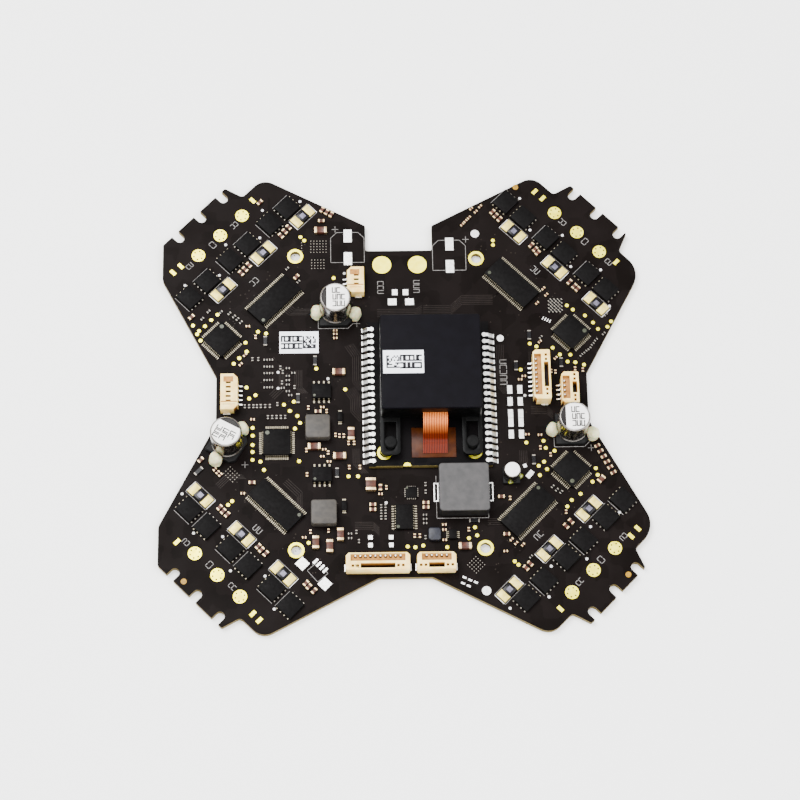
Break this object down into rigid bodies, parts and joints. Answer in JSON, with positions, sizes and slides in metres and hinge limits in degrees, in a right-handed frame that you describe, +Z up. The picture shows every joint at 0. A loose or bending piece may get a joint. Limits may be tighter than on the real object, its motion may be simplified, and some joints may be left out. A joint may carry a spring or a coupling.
{
  "type": "electronic speed controller board",
  "caption": "Bare speed controller board with diagonal motor arms, capacitors, connectors, a castellated control module and a sensor block floating on rubber dampers.",
  "frame": {"origin": "middle of the board's underside", "axes": "+Z up out of the component side, +Y towards the end with the power pads"},
  "size_m": [0.1238, 0.1234, 0.0127],
  "materials": {
    "base_plastic": "matt black moulded base",
    "block_plastic": "fine-grained blue-black moulded plastic",
    "can_aluminium": "bright drawn aluminium sleeve",
    "chip_ceramic": "tan fired ceramic with tinned ends",
    "damper_rubber": "soft black silicone rubber",
    "ferrite": "dark grey ferrite",
    "gold_plate": "immersion gold over copper",
    "housing_nylon": "cream moulded nylon",
    "inner_board": "near-black solder mask",
    "label_paper": "white matt label",
    "module_mask": "near-black satin solder mask",
    "package_plastic": "fine-grained black moulding compound",
    "polyimide": "translucent amber polyimide over copper tracks",
    "polyimide_stiffener": "amber polyimide sheet",
    "powder_core": "light grey pressed powder core",
    "shunt_metal": "plated end caps on a black resistive bridge",
    "silicone_glue": "cream cured adhesive",
    "solder_mask": "near-black satin solder mask over glass-epoxy board",
    "tinned_copper": "bright tinned copper and solder",
    "weight_brass": "plain brass plate"
  },
  "bodies": {
    "board": {"board_label": "label_paper", "buck_inductors": "ferrite", "capacitor_base_1": "base_plastic", "capacitor_base_2": "base_plastic", "capacitor_base_3": "base_plastic", "capacitor_can_1": "can_aluminium", "capacitor_can_2": "can_aluminium", "capacitor_can_3": "can_aluminium", "castellation_joints": "tinned_copper", "ceramic_capacitors": "chip_ceramic", "connector_10_pin": "housing_nylon", "connector_10_pin_contacts": "tinned_copper", "connector_4_pin": "housing_nylon", "connector_4_pin_contacts": "tinned_copper", "connector_5_pin": "housing_nylon", "connector_5_pin_contacts": "tinned_copper", "connector_8_pin": "housing_nylon", "connector_8_pin_contacts": "tinned_copper", "control_module": "module_mask", "flex_ribbon": "polyimide", "flex_stiffener": "polyimide_stiffener", "gate_driver_1": "package_plastic", "gate_driver_2": "package_plastic", "gate_driver_3": "package_plastic", "gate_driver_4": "package_plastic", "glue_beads": "silicone_glue", "interface_ics": "package_plastic", "main_board": "solder_mask", "main_inductor": "powder_core", "main_inductor_terminals": "tinned_copper", "module_processor": "package_plastic", "mosfets_1": "package_plastic", "mosfets_2": "package_plastic", "mosfets_3": "package_plastic", "mosfets_4": "package_plastic", "motor_controller_1": "package_plastic", "motor_controller_2": "package_plastic", "motor_controller_3": "package_plastic", "motor_controller_4": "package_plastic", "mounting_rings": "gold_plate", "rectifier_diodes": "package_plastic", "regulator_ics": "package_plastic", "rubber_dampers": "damper_rubber", "shunts_1": "shunt_metal", "shunts_2": "shunt_metal", "shunts_3": "shunt_metal", "shunts_4": "shunt_metal", "side_connector_3_pin": "housing_nylon", "side_connector_3_pin_contacts": "tinned_copper", "side_connector_5_pin": "housing_nylon", "side_connector_5_pin_contacts": "tinned_copper", "small_capacitor_base": "base_plastic", "small_capacitor_can": "can_aluminium", "solder_pads": "tinned_copper"},
    "sensor_block": {"sensor_housing": "block_plastic", "sensor_lid": "block_plastic", "sensor_bracket": "block_plastic", "sensor_weight": "weight_brass", "sensor_board": "inner_board", "sensor_label": "label_paper"}
  },
  "joints": [
    {"name": "sensor_float", "type": "slide", "parent": "board", "child": "sensor_block", "axis": [0, 0, 1], "range_m": [-0.0004, 0.0004], "stiffness_N_per_m": 1500, "springref_m": 0.00008, "deforming": ["rubber_dampers", "flex_ribbon"]}
  ]
}
